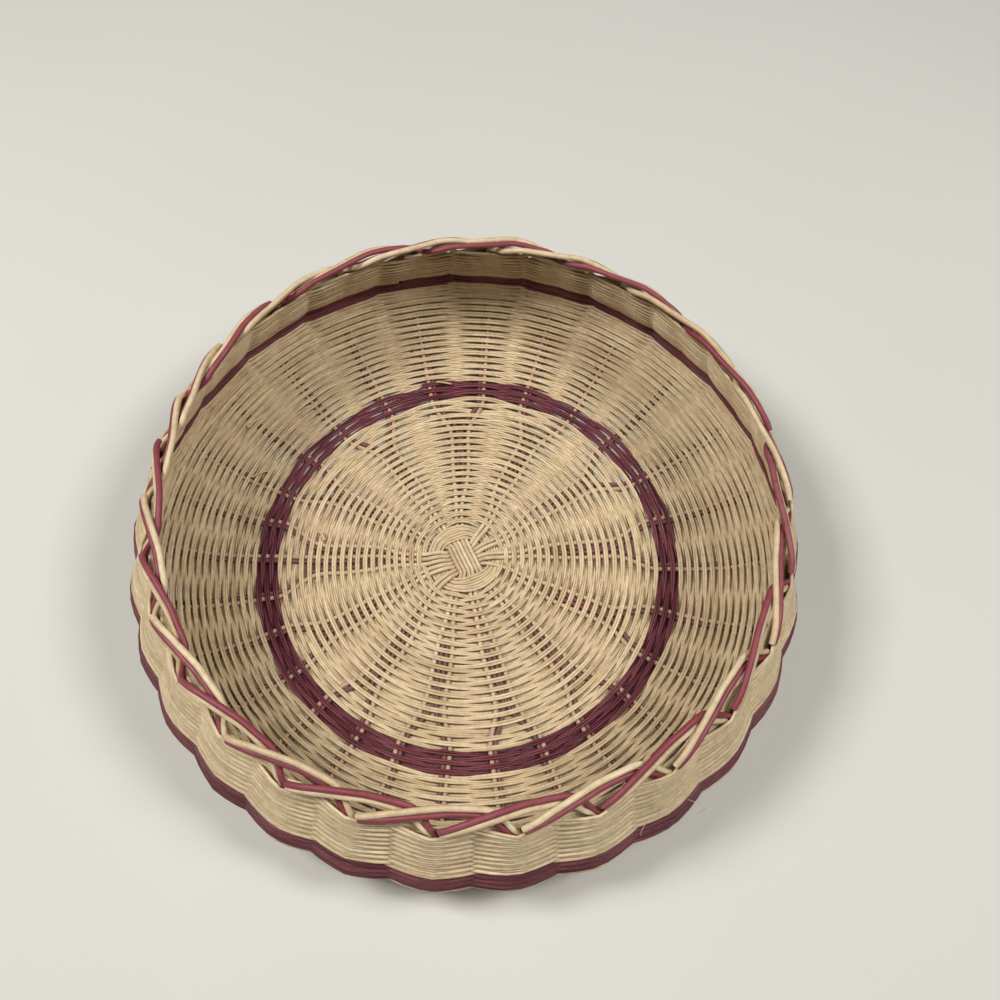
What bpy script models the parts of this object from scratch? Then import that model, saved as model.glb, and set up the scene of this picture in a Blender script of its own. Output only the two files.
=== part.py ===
"""Round reed basket: continuous reeds laid over each other at the centre, woven bands and a braided border.

The reeds run at the middle of the weave, through one tunnel for each pair in every woven band.
World metres, +Z up, standing on Z = 0 with the centre of the base at the origin.
"""

import math

import bmesh
import bpy
from mathutils import Vector

MM = 0.001

REED_D = 2.3
CROSS_REED_D = 2.1
REED_GAP = 0.3
REED_SIDES_RESOLUTION = 1
PAIR_PITCH = REED_D + REED_GAP
CROSS_PITCH = CROSS_REED_D + REED_GAP

STAKE_AZIMUTHS = (
    32.0, 47.2, 61.9, 76.2, 90.4, 105.4, 121.1, 136.5, 149.8, 162.3, 172.6, 183.6, 195.0, 206.5,
    218.9, 231.3, 243.6, 255.8, 268.7, 281.6, 294.6, 307.8, 321.6, 335.0, 348.7, 362.9, 377.4)
CROSS_AZIMUTH = 119.0
OVER_REED_ENDS = ((4, 22), (5, 21), (6, 20), (7, 19), (8, 18), (9, 17))
UNDER_REED_ENDS = ((24, 16), (25, 15), (26, 14), (0, 13), (1, 12), (2, 11), (3, 10))
ADDED_STAKE = next(
    stake for stake in range(len(STAKE_AZIMUTHS))
    if not any(stake in ends for ends in OVER_REED_ENDS + UNDER_REED_ENDS))
GROUPS = ((0, 1), (2, 3), (4, 5), (6, 7), (8, 9), (10, 11, 12), (13, 14), (15, 16), (17, 18),
          (19, 20), (21, 22), (23, 24), (25, 26))

BASE_THICKNESS = 4.8
BASE_MIDDLE = 0.5 * BASE_THICKNESS
UNDER_LAYER_Z = 0.5 * CROSS_REED_D
OVER_LAYER_Z = UNDER_LAYER_Z + CROSS_PITCH
OVER_EDGE = 8.6
UNDER_EDGE = 7.4
LAYER_CHANGE = 2.6
LATER_BEND = 0.4

LOCKING_INNER_R = 12.9
LOCKING_OUTER_R = 17.4
LOCKING_CROSSINGS = (80.5, 163.0, 255.5, 339.0)
LOCKING_RAMP = 2.5
INNER_WEAVE_R = 20.2
DYED_START_R = 28.0
GROUP_END_R = 70.0
BASE_BAND_INNER_R = 94.0
BASE_BAND_WIDTH = 10.65
OUTER_ROUNDS_WIDTH = 9.35
PAIR_LEAD = 1.0
PAIR_START_R = BASE_BAND_INNER_R - PAIR_LEAD
BASE_BAND_OUTER_R = BASE_BAND_INNER_R + BASE_BAND_WIDTH
BASE_EDGE_R = BASE_BAND_OUTER_R + OUTER_ROUNDS_WIDTH

WALL_BULGE = (
    (0.0, 2.4), (12.0, 4.9), (24.0, 11.0), (33.3, 19.0), (39.8, 27.5), (40.2, 39.5), (24.6, 69.6))
WALL_PROFILE = tuple((BASE_EDGE_R + outward, height) for outward, height in WALL_BULGE)
STAKE_HALF_THICKNESS = 2.45
VALLEY_HALF_THICKNESS = 1.2
TUNNEL_CLEARANCE = 0.3
TUNNEL_STEP = 0.06
BAND_GAP = 0.3

BORDER_OUTWARD = 0.2
BORDER_RISE = 0.7
BORDER_R = WALL_PROFILE[-1][0] + BORDER_OUTWARD
BORDER_Z = WALL_PROFILE[-1][1] + BORDER_RISE
BORDER_REED_D = 2.3
BORDER_PITCH = 33.5
BORDER_FIRST = (
    (3.5, 0.6, 2.8), (9.0, -2.2, 3.15), (15.04, -4.4, 3.56), (23.3, -4.29, 5.18),
    (31.45, -2.85, 6.24), (38.5, -1.0, 6.1), (44.6, 0.45, 4.65), (51.44, 1.4, 2.25))
BORDER_SECOND = (
    (-0.2, -3.5, 1.5), (7.5, -6.3, 3.75), (15.8, -7.59, 4.65), (26.1, -6.7, 5.8),
    (36.36, -4.41, 6.5), (45.6, -1.8, 5.85), (51.78, -1.2, 2.6))

STRAW = (0.62, 0.44, 0.22)
DYE = (0.16, 0.02, 0.05)


def clear_scene():
    for item in list(bpy.data.objects):
        bpy.data.objects.remove(item, do_unlink=True)


def make_collection(name):
    collection = bpy.data.collections.new(name)
    bpy.context.scene.collection.children.link(collection)
    return collection


def make_material(name, colour):
    material = bpy.data.materials.new(name)
    material.use_nodes = True
    shader = material.node_tree.nodes["Principled BSDF"]
    shader.inputs["Base Color"].default_value = (*colour, 1.0)
    shader.inputs["Roughness"].default_value = 0.6
    return material


def direction(azimuth):
    angle = math.radians(azimuth)
    return Vector((math.cos(angle), math.sin(angle), 0.0))


def across(azimuth):
    angle = math.radians(azimuth)
    return Vector((-math.sin(angle), math.cos(angle), 0.0))


def group_of(stake):
    return next(group for group in GROUPS if stake in group)


def group_azimuth(group):
    return sum(STAKE_AZIMUTHS[stake] for stake in group) / len(group)


def natural_side(stake):
    """Side of the pair on which the natural reed lies: -1 is clockwise, +1 is the other way."""
    group = group_of(stake)
    return 1 if stake == group[-1] else -1


def group_offsets(stake, radius):
    """Sideways places of the natural and the dyed reed inside their group on the base."""
    group = group_of(stake)
    side = natural_side(stake)
    spread = (radius - DYED_START_R) / (GROUP_END_R - DYED_START_R)
    if len(group) == 2:
        natural = side * (1.5 * PAIR_PITCH + 1.4 * spread)
        dyed = side * 0.5 * PAIR_PITCH
        return natural, dyed
    if stake == group[1]:
        return -0.5 * PAIR_PITCH, 0.5 * PAIR_PITCH
    natural = side * (2.5 * PAIR_PITCH + 2.6 * spread)
    return natural, natural - side * PAIR_PITCH


def base_points(stake):
    """Rows of (natural, dyed) points of one pair from the start of the dyed reed to the turn."""
    middle = group_azimuth(group_of(stake))
    rows = []
    for radius in (DYED_START_R, GROUP_END_R):
        natural, dyed = group_offsets(stake, radius)
        start = direction(middle) * radius
        rows.append((start + across(middle) * natural, start + across(middle) * dyed))
    azimuth = STAKE_AZIMUTHS[stake]
    side = 0.5 * PAIR_PITCH * natural_side(stake)
    start = direction(azimuth) * PAIR_START_R
    rows.append((start + across(azimuth) * side, start - across(azimuth) * side))
    for row in rows:
        for point in row:
            point.z = BASE_MIDDLE
    return rows


def wall_points(stake):
    azimuth = STAKE_AZIMUTHS[stake]
    side = 0.5 * PAIR_PITCH * natural_side(stake)
    rows = []
    for radius, height in WALL_PROFILE:
        start = direction(azimuth) * radius + Vector((0.0, 0.0, height))
        rows.append((start + across(azimuth) * side, start - across(azimuth) * side))
    return rows


def azimuth_at(stake, turns):
    """Azimuth that lies a number of stake spacings clockwise of a stake."""
    count = len(STAKE_AZIMUTHS)
    whole = math.floor(turns)
    part = turns - whole
    here = STAKE_AZIMUTHS[(stake - whole) % count]
    there = STAKE_AZIMUTHS[(stake - whole - 1) % count]
    step = (here - there) % 360.0
    return here - part * step


def border_points(stake, natural):
    """Centre line of a border end: in over the rim, under the next ends, then out over them."""
    clockwise = (natural_side(stake) < 0) == natural
    points = []
    for along, outward, up in (BORDER_FIRST if clockwise else BORDER_SECOND):
        azimuth = azimuth_at(stake, along / BORDER_PITCH)
        point = direction(azimuth) * (BORDER_R + outward)
        point.z = BORDER_Z + up
        points.append(point)
    return points


def outer_path(stake, natural):
    """Points and thicknesses of one reed from the start of the dyed reeds to its border tip."""
    column = 0 if natural else 1
    points = [row[column] for row in base_points(stake) + wall_points(stake)]
    sizes = [REED_D] * len(points)
    ends = border_points(stake, natural)
    points += ends
    sizes += [BORDER_REED_D] * len(ends)
    return points, sizes


def cross_path(stake, offset, over):
    """Points of one arm from the edge of the centre cross to the inner edge of the weave."""
    turn = CROSS_AZIMUTH if over else CROSS_AZIMUTH - 90.0
    table = OVER_REED_ENDS if over else UNDER_REED_ENDS
    first = any(stake == ends[0] for ends in table)
    azimuth = turn if first else turn + 180.0
    sideways = across(turn) * offset
    crossing_z = OVER_LAYER_Z if over else UNDER_LAYER_Z
    locking_z = UNDER_LAYER_Z if over else OVER_LAYER_Z
    edge = OVER_EDGE if over else UNDER_EDGE
    near = direction(azimuth) * edge + sideways
    widest = 0.5 * (len(table) - 1) * CROSS_PITCH
    bend = edge + LAYER_CHANGE + LATER_BEND * (widest - abs(offset))
    start = direction(azimuth) * bend + sideways
    target = base_points(stake)[0][0]
    target = Vector((target.x, target.y, 0.0))
    points = [near, start]
    for radius in (LOCKING_OUTER_R + REED_GAP, INNER_WEAVE_R - 0.2):
        share = (radius - start.length) / (target.length - start.length)
        points.append(start.lerp(target, share))
    for point, height in zip(points, (crossing_z, locking_z, locking_z, BASE_MIDDLE)):
        point.z = height
    return points


def make_reed(name, points, sizes, material, collection):
    curve = bpy.data.curves.new(name, "CURVE")
    curve.dimensions = "3D"
    curve.bevel_depth = 0.5 * MM
    curve.bevel_resolution = REED_SIDES_RESOLUTION
    curve.use_fill_caps = True
    curve.twist_mode = "MINIMUM"
    spline = curve.splines.new("POLY")
    spline.points.add(len(points) - 1)
    for item, point, size in zip(spline.points, points, sizes):
        item.co = (*(point * MM), 1.0)
        item.radius = size
    curve.materials.append(material)
    reed = bpy.data.objects.new(name, curve)
    collection.objects.link(reed)
    return reed


def crossing_reed(name, ends, offset, over, material, collection):
    points = []
    sizes = []
    for stake in ends:
        inner = cross_path(stake, offset, over)
        outer, outer_sizes = outer_path(stake, True)
        path = inner + outer
        path_sizes = [CROSS_REED_D] * len(inner) + outer_sizes
        if not points:
            points = path[::-1]
            sizes = path_sizes[::-1]
        else:
            points += path
            sizes += path_sizes
    return make_reed(name, points, sizes, material, collection)


def natural_reeds(material, collection):
    for number, ends in enumerate(OVER_REED_ENDS):
        offset = (number - 0.5 * (len(OVER_REED_ENDS) - 1)) * CROSS_PITCH
        crossing_reed(f"natural_reed_over_{number + 1:02d}", ends, offset, True, material, collection)
    for number, ends in enumerate(UNDER_REED_ENDS):
        offset = (number - 0.5 * (len(UNDER_REED_ENDS) - 1)) * CROSS_PITCH
        crossing_reed(f"natural_reed_under_{number + 1:02d}", ends, offset, False, material, collection)
    points, sizes = outer_path(ADDED_STAKE, True)
    make_reed("natural_reed_added", points, sizes, material, collection)


def dyed_reeds(material, collection):
    for stake in range(len(STAKE_AZIMUTHS)):
        points, sizes = outer_path(stake, False)
        make_reed(f"dyed_reed_{stake + 1:02d}", points, sizes, material, collection)


def ring_azimuths():
    """Azimuths of the stakes and of the middles between them, with a flag for the stakes."""
    count = len(STAKE_AZIMUTHS)
    places = []
    for stake in range(count):
        here = STAKE_AZIMUTHS[stake]
        step = (STAKE_AZIMUTHS[(stake + 1) % count] - here) % 360.0
        places.append((here, True))
        places.append((here + 0.5 * step, False))
    return places


def mesh_object(name, sections, material, collection):
    """Closed ring whose cross-sections are lists of points in order round the section."""
    mesh = bpy.data.meshes.new(name)
    shape = bmesh.new()
    loops = [[shape.verts.new(point * MM) for point in section] for section in sections]
    count = len(sections)
    size = len(sections[0])
    for index in range(count):
        first = loops[index]
        second = loops[(index + 1) % count]
        for corner in range(size):
            following = (corner + 1) % size
            shape.faces.new((first[corner], second[corner], second[following], first[following]))
    bmesh.ops.recalc_face_normals(shape, faces=shape.faces)
    shape.to_mesh(mesh)
    shape.free()
    if material:
        mesh.materials.append(material)
    item = bpy.data.objects.new(name, mesh)
    collection.objects.link(item)
    return item


def flat_section(azimuth, inner, outer):
    out = direction(azimuth)
    return [out * inner, out * outer,
            out * outer + Vector((0.0, 0.0, BASE_THICKNESS)),
            out * inner + Vector((0.0, 0.0, BASE_THICKNESS))]


def profile_rows(first, last):
    """Profile points and their outward normals between two rows, trimmed by the band gap."""
    rows = []
    for index in range(first, last + 1):
        before = WALL_PROFILE[max(index - 1, 0)]
        after = WALL_PROFILE[min(index + 1, len(WALL_PROFILE) - 1)]
        along = Vector((after[0] - before[0], after[1] - before[1]))
        if index == 0:
            along = Vector((1.0, 0.0))
        along.normalize()
        normal = Vector((along.y, -along.x))
        point = Vector(WALL_PROFILE[index])
        if index == first:
            point += along * 0.5 * BAND_GAP
        if index == last:
            point -= along * 0.5 * BAND_GAP
        rows.append((point, normal))
    return rows


def wall_section(azimuth, at_stake, rows):
    out = direction(azimuth)
    half = STAKE_HALF_THICKNESS if at_stake else VALLEY_HALF_THICKNESS
    outer = []
    inner = []
    for point, normal in rows:
        bottom = point.y < BASE_MIDDLE + 0.01
        size = STAKE_HALF_THICKNESS if bottom else half
        if bottom:
            size = BASE_MIDDLE
        outside = point + normal * size
        inside = point - normal * size
        outer.append(out * outside.x + Vector((0.0, 0.0, outside.y)))
        inner.append(out * inside.x + Vector((0.0, 0.0, inside.y)))
    return outer + inner[::-1]


def tunnel(stake, collection):
    """Square-sided tube round one pair of reeds, from the start of the dyed reed to the rim."""
    rows = base_points(stake) + wall_points(stake)
    reach = 0.5 * REED_D + TUNNEL_CLEARANCE
    height = reach + TUNNEL_STEP * (stake % 3)
    middles = [0.5 * (natural + dyed) for natural, dyed in rows]
    sections = []
    for index, (natural, dyed) in enumerate(rows):
        before = middles[max(index - 1, 0)]
        after = middles[min(index + 1, len(rows) - 1)]
        along = (after - before).normalized()
        sideways = (natural - dyed).normalized()
        up = along.cross(sideways).normalized()
        if index == 0:
            natural = natural - along * (1.0 + height - reach)
            dyed = dyed - along * (1.0 + height - reach)
        if index == len(rows) - 1:
            natural = natural + along * 3.0
            dyed = dyed + along * 3.0
        sections.append([natural + sideways * reach + up * height,
                         natural + sideways * reach - up * height,
                         dyed - sideways * reach - up * height,
                         dyed - sideways * reach + up * height])
    return tube_object(f"tunnel_{stake + 1:02d}", sections, collection)


def narrow_tunnel(stake, collection):
    """Tube round one natural reed between the locking rounds and the start of the dyed reeds."""
    natural, dyed = base_points(stake)[0]
    start = inner_exit(stake)
    along = (natural - start).normalized()
    start -= along * 1.0
    outward = direction(group_azimuth(group_of(stake)))
    width = 0.5 * REED_D + TUNNEL_CLEARANCE - TUNNEL_STEP
    ends = ((start, Vector((-along.y, along.x, 0.0)), width),
            (natural + outward * 0.5, (natural - dyed).normalized(), width - 1.5 * TUNNEL_STEP))
    up = Vector((0.0, 0.0, width - 0.5 * TUNNEL_STEP * (stake % 3)))
    sections = []
    for point, sideways, reach in ends:
        if sideways.dot(across(group_azimuth(group_of(stake)))) < 0.0:
            sideways = -sideways
        sections.append([point + sideways * reach + up, point + sideways * reach - up,
                         point - sideways * reach - up, point - sideways * reach + up])
    return tube_object(f"narrow_tunnel_{stake + 1:02d}", sections, collection)


def inner_exit(stake):
    for over, table in ((True, OVER_REED_ENDS), (False, UNDER_REED_ENDS)):
        for number, ends in enumerate(table):
            if stake in ends:
                offset = (number - 0.5 * (len(table) - 1)) * CROSS_PITCH
                return cross_path(stake, offset, over)[-1]
    return None


def tube_object(name, sections, collection):
    mesh = bpy.data.meshes.new(name)
    shape = bmesh.new()
    loops = [[shape.verts.new(point * MM) for point in section] for section in sections]
    for first, second in zip(loops, loops[1:]):
        for corner in range(4):
            following = (corner + 1) % 4
            shape.faces.new((first[corner], second[corner], second[following], first[following]))
    shape.faces.new(loops[0][::-1])
    shape.faces.new(loops[-1])
    bmesh.ops.recalc_face_normals(shape, faces=shape.faces)
    shape.to_mesh(mesh)
    shape.free()
    item = bpy.data.objects.new(name, mesh)
    collection.objects.link(item)
    item.hide_render = True
    item.display_type = "WIRE"
    return item


def cut(band, cutters):
    for cutter in cutters:
        modifier = band.modifiers.new(cutter.name, "BOOLEAN")
        modifier.operation = "DIFFERENCE"
        modifier.solver = "EXACT"
        modifier.object = cutter


def locking_rounds(material, collection):
    """Flat ring that passes over the reeds of the upper layer and under those of the lower one."""
    sections = []
    half_layer = 0.5 * (CROSS_PITCH - REED_GAP)
    for quarter, first in enumerate(LOCKING_CROSSINGS):
        last = LOCKING_CROSSINGS[(quarter + 1) % 4]
        reach = (last - first) % 360.0 - 2.0 * LOCKING_RAMP
        level = OVER_LAYER_Z if quarter % 2 == 0 else UNDER_LAYER_Z
        for share in (0.0, 0.25, 0.5, 0.75, 1.0):
            out = direction(first + LOCKING_RAMP + share * reach)
            low = Vector((0.0, 0.0, level - half_layer))
            top = Vector((0.0, 0.0, level + half_layer))
            sections.append([out * LOCKING_INNER_R + low, out * LOCKING_OUTER_R + low,
                             out * LOCKING_OUTER_R + top, out * LOCKING_INNER_R + top])
    return mesh_object("centre_locking_rounds", sections, material, collection)


def flat_band(name, inner, outer, material, collection):
    sections = [flat_section(azimuth, inner, outer) for azimuth, _ in ring_azimuths()]
    return mesh_object(name, sections, material, collection)


def wall_band(name, first, last, material, collection, start=None):
    rows = profile_rows(first, last)
    if start:
        rows[0] = (Vector(WALL_PROFILE[0]), Vector((0.0, -1.0)))
        rows.insert(0, (Vector((start, BASE_MIDDLE)), Vector((0.0, -1.0))))
    sections = [wall_section(azimuth, at_stake, rows) for azimuth, at_stake in ring_azimuths()]
    return mesh_object(name, sections, material, collection)


def main():
    clear_scene()
    parts = make_collection("round_basket")
    tools = make_collection("cutters")
    straw_reed = make_material("natural_reed", STRAW)
    straw_weave = make_material("natural_weave", STRAW)
    dyed_reed = make_material("dyed_reed", DYE)
    dyed_weave = make_material("dyed_weave", DYE)

    natural_reeds(straw_reed, parts)
    dyed_reeds(dyed_reed, parts)

    pairs = [tunnel(stake, tools) for stake in range(len(STAKE_AZIMUTHS))]
    singles = [narrow_tunnel(stake, tools) for stake in range(len(STAKE_AZIMUTHS)) if stake != ADDED_STAKE]

    locking_rounds(straw_weave, parts)
    gap = 0.5 * BAND_GAP
    inner = flat_band("base_weave_inner", INNER_WEAVE_R, BASE_BAND_INNER_R - gap, straw_weave, parts)
    cut(inner, singles + pairs)
    band = flat_band("base_dyed_band", BASE_BAND_INNER_R + gap, BASE_BAND_OUTER_R - gap, dyed_weave, parts)
    cut(band, pairs)
    outer = wall_band("base_weave_outer", 0, 1, straw_weave, parts, start=BASE_BAND_OUTER_R + gap)
    cut(outer, pairs)
    cut(wall_band("turn_weave", 1, 3, straw_weave, parts), pairs)
    cut(wall_band("wall_weave_lower", 3, 4, straw_weave, parts), pairs)
    cut(wall_band("wall_dyed_band", 4, 5, dyed_weave, parts), pairs)
    cut(wall_band("wall_weave_upper", 5, 6, straw_weave, parts), pairs)


main()
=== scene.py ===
"""Round reed basket, dressed for the render.

Every stake and every weaver is a strand of its own: the stakes run from the centre cross up into
the border, and pairs of fine weavers go over and under them in spirals.
"""

import math

import bpy
import numpy as np
from mathutils import Matrix, Vector


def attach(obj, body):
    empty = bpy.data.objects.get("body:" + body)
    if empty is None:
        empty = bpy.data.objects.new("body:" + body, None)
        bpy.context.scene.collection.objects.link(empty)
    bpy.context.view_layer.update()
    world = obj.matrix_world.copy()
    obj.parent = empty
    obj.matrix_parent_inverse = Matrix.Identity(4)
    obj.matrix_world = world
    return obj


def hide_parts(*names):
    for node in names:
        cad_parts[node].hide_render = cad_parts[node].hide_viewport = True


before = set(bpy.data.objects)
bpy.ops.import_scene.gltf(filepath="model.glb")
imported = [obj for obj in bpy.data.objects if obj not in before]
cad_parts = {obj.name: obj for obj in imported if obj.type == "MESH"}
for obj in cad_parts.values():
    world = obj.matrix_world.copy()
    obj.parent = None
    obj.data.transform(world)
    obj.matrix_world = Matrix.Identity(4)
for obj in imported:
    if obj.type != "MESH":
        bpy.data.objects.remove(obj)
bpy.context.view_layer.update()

bl_info = {
    "name": "Round Reed Basket",
    "version": (1, 0, 0),
    "blender": (4, 5, 0),
    "location": "3D View > Sidebar > Basket",
    "description": "Weaves a round reed basket with dyed bands and a braided border",
    "category": "Add Mesh",
}

MM = 0.001

# Lengths are in millimetres and azimuths in degrees, counted from the basket's right.
STAKE_AZIMUTHS = (
    32.0, 47.2, 61.9, 76.2, 90.4, 105.4, 121.1, 136.5, 149.8, 162.3, 172.6, 183.6, 195.0, 206.5,
    218.9, 231.3, 243.6, 255.8, 268.7, 281.6, 294.6, 307.8, 321.6, 335.0, 348.7, 362.9, 377.4)
STAKES = len(STAKE_AZIMUTHS)
CROSS_AZIMUTH = 119.0
OVER_ENDS = ((4, 22), (5, 21), (6, 20), (7, 19), (8, 18), (9, 17))
UNDER_ENDS = ((24, 16), (25, 15), (26, 14), (0, 13), (1, 12), (2, 11), (3, 10))
ADDED_STAKE = 23
GROUPS = ((0, 1), (2, 3), (4, 5), (6, 7), (8, 9), (10, 11, 12), (13, 14), (15, 16), (17, 18),
          (19, 20), (21, 22), (23, 24), (25, 26))

# The reeds on the base, from the cross at the centre outwards.
BASE_MIDDLE = 2.4
CROSS_PITCH = {"over": 1.95, "under": 2.1}
CROSS_REED_GAP = 0.08
CROSS_REED_WIDTH = 2.12
CROSS_SHIFT = (-2.3, 2.0)
SHIFT_ENDS_R = 75.0
ARM_STEPS = (0.28, 0.64, 1.0)
ARM_SPREAD = 2.3
THICKENING_R = (12.0, 30.0)
OVER_ARM = {"bound": ((4.0, 3.45), (7.6, 3.3)), "outside": (1.5, 1.15, 1.6)}
UNDER_ARM = {"bound": ((3.0, 1.15), (7.0, 1.5)), "outside": (3.1, 3.4, 2.9)}
INNER_WEAVE_R = 18.8
INNER_AZIMUTHS = (
    33.0, 62.0, 101.0, 129.0, 157.5, 188.0, 209.0, 234.0, 262.0, 288.0, 314.0, 346.0, 368.0)
OUTER_START_R = 26.0
SPREAD_START_R = 30.0
INNER_TURN_R = 44.0
DYED_SHOWS_R = 46.0
GROUP_END_R = 76.0
GROUP_RADII = (32.0, 39.0, DYED_SHOWS_R, 58.0, GROUP_END_R)
PAIR_PLACE = 0.55
PAIR_OPENS = 0.95
PAIR_SPREADS = 1.4
TRIPLE_PLACE = 1.15
TRIPLE_OPENS = 1.35
TRIPLE_SPREADS = 2.6
SHORTEST_STEP = 3.0
PAIR_START_R = 93.0
REED_GAP = 0.1
REED_STEP = 1.6
LONG_DYED = (4, 10, 16, 22)
DYED_LONG_START_R = 37.0
DYED_START_R = (44.0, 55.0)
CROSSING_Z = (40.0, 62.0)
CROSSING_DEPTH = 0.8

# Strands thinner than this have fewer faces round them.
FINE_WIDTH = 1.5

# The fibre pattern goes round a strand on a ring of this size, and is stretched along it.
FIBRE_RING = 2.2
FIBRE_STRETCH = 55.0

# The weave's middle surface as radius and height, and the weaving that fills it.
PROFILE = (
    (0.0, 2.4), (30.0, 2.4), (60.0, 2.4), (90.0, 2.4), (104.0, 2.4), (114.0, 2.6), (122.0, 3.8),
    (130.0, 6.0), (138.0, 9.6), (146.0, 14.4), (151.6, 18.8), (154.5, 23.0), (155.3, 27.5),
    (154.6, 33.0), (152.6, 39.2), (149.8, 45.5), (147.2, 52.0), (145.0, 58.5), (143.0, 65.0))
WALL_TOP = (141.4, 70.8)
FIRST_WALL_ROW = 4
WALL_R = 110.0
SWITCH_R = 85.4
BASE_BAND_R = (94.0, 104.65)
BAND_HEIGHTS = {"turn": 4.9, "lower": 19.0, "dyed": 28.0, "upper": 39.5, "top": 67.0}
START_AZIMUTH = 109.0
LEAD_IN_TURNS = 0.4
SEAM_GAP_TURNS = 0.002
FIRST_ROW = 0.52
BULGE_R = (112.0, 137.0)
WALL_EXTRA_RISE = 0.3
PULLED_IN = 1.3
FULLER_HEIGHTS = (8.0, 22.0)
WALL_FULLER = 0.35
WEAVE_PRESS = 0.18
LOOSE_TURNS = 4.0
LOOSE_THINNER = 0.2
LOOSE_BOW = 3.6
LOOSE_BOW_MIDDLE = 0.35
STEPS_PER_GROUP = 11
STEPS_PER_STAKE = 6

# Two weavers side by side: how far apart their middles are, in thicknesses, between and at the
# stakes, and how much steeper than a plain wave they cross from one side to the other.
APART_BETWEEN = 0.74
APART_AT_STAKE = 0.96
STEEPNESS = 0.24

# Slow random straying: its wavelengths, its usual reach, and how much it moves each thing.
WANDER_WAVES = (19.0, 37.0, 83.0, 160.0)
WANDER_REACH = 1.6
OWN_WANDER = 0.4
LEAN_WANDER = 0.03
LIFT_WANDER = 0.04
WIDTH_WANDER = 0.025
ROUND_WANDER = 0.05

# The rounds that lock the cross: square near it and rounder outside, flat where they pass an arm.
LOCKING_ROUNDS = 3
LOCKING_STOP = 30.0
LOCKING_STEPS = 90
LOCKING_WIDTH = 1.46
LOCKING_R = 10.2
LOCKING_PITCH = 2.9
LOCKING_APART = 1.42
LOCKING_SQUARE = (3.4, 2.0)
LOCKING_MIDDLE = 2.3
LOCKING_TOP = 3.75
LOCKING_SINK = 0.05
LOCKING_DROP = 1.2
LOCKING_FLATNESS = 1.9

# The rim leans to a side, and on the far side the arcs stand further out and their tails in.
RIM_SHIFT = (0.8, 2.8)
RIM_SHIFT_HEIGHTS = (30.0, 70.0)
FAR_ARC_SHIFT = 2.6
FAR_TAIL_SHIFT = 1.4 * FAR_ARC_SHIFT
FAR_OUTER_SHIFT = 1.2
FAR_OUTER_SHARE = {"natural": 1.0, "dyed": -0.6}
FAR_TURN = 0.15
FAR_START = (2.0, 12.0)
FAR_TAIL = (46.0, 58.0)

# The border: rows of distance along the rim, then how far out and up from its middle line.
BORDER_FULL_HEIGHTS = (66.0, 72.0)
BORDER_R = 141.2
BORDER_Z = 70.3
BORDER_PITCH = 33.5
BORDER_SWELL = (-0.5, 0.6)
SWELL_OUTWARD = 0.6
BORDER_REACH = (-0.8, 0.8)
BORDER_OUTER = (
    (1.2, 1.2, -4.4), (3.6, 0.6, -2.6), (7.2, -1.8, -0.8), (11.0, -3.9, 1.3), (16.0, -5.0, 3.1),
    (22.0, -5.3, 3.9), (29.3, -5.0, 4.2), (37.0, -3.7, 4.3), (44.6, -2.2, 4.1), (51.0, -0.5, 3.7),
    (57.0, 0.9, 2.7), (61.0, 1.8, 1.2), (63.6, 2.2, -0.8))
BORDER_INNER = (
    (-1.2, 1.6, -4.4), (0.4, 0.9, -2.6), (2.8, -1.2, -0.6), (5.6, -4.2, 1.5), (10.5, -6.5, 3.8),
    (15.0, -6.9, 5.2), (22.0, -7.0, 5.9), (29.3, -6.8, 6.3), (37.0, -5.6, 6.3), (44.6, -3.9, 6.0),
    (52.2, -1.9, 5.4), (57.0, -0.4, 4.4), (61.0, 0.7, 2.9), (64.6, 1.4, 0.8))

# Thickness of each loose end, then its azimuths, distances along the weave and lifts inwards.
LOOSE_ENDS = (
    (1.2, ((147.0, 139.2, 1.2), (149.0, 138.8, 3.4), (151.0, 138.6, 4.0), (152.5, 138.3, 4.1),
           (152.4, 137.6, 4.0), (151.0, 137.4, 3.8), (149.1, 136.8, 3.2), (147.4, 136.4, 1.0))),
    (1.3, ((158.4, 114.6, 1.0), (159.5, 116.3, 3.0), (160.8, 118.1, 3.7), (162.6, 120.5, 4.2))),
    (1.3, ((173.0, 77.0, 1.0), (173.6, 75.4, 3.2), (174.9, 73.9, 3.6), (176.4, 72.6, 3.4))),
    (1.2, ((104.2, 106.9, 0.8), (103.2, 105.6, 3.0), (101.6, 104.6, 3.2), (99.6, 103.9, 2.4))),
    (0.22, ((97.4, 167.5, 1.5), (96.8, 169.3, 4.5), (96.3, 173.3, 6.6), (95.2, 176.9, 6.0))),
    (0.22, ((84.0, 137.0, 1.5), (84.9, 134.0, 4.6), (86.2, 130.6, 5.2), (86.0, 127.5, 3.8))),
    (0.22, ((311.0, 178.0, -1.5), (312.2, 175.0, -4.6), (313.0, 170.6, -6.2), (312.0, 167.5, -5.2))),
    (0.22, ((303.0, 190.0, -1.5), (302.2, 187.0, -4.2), (301.0, 184.6, -5.6), (301.4, 181.5, -5.0))),
)


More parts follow.
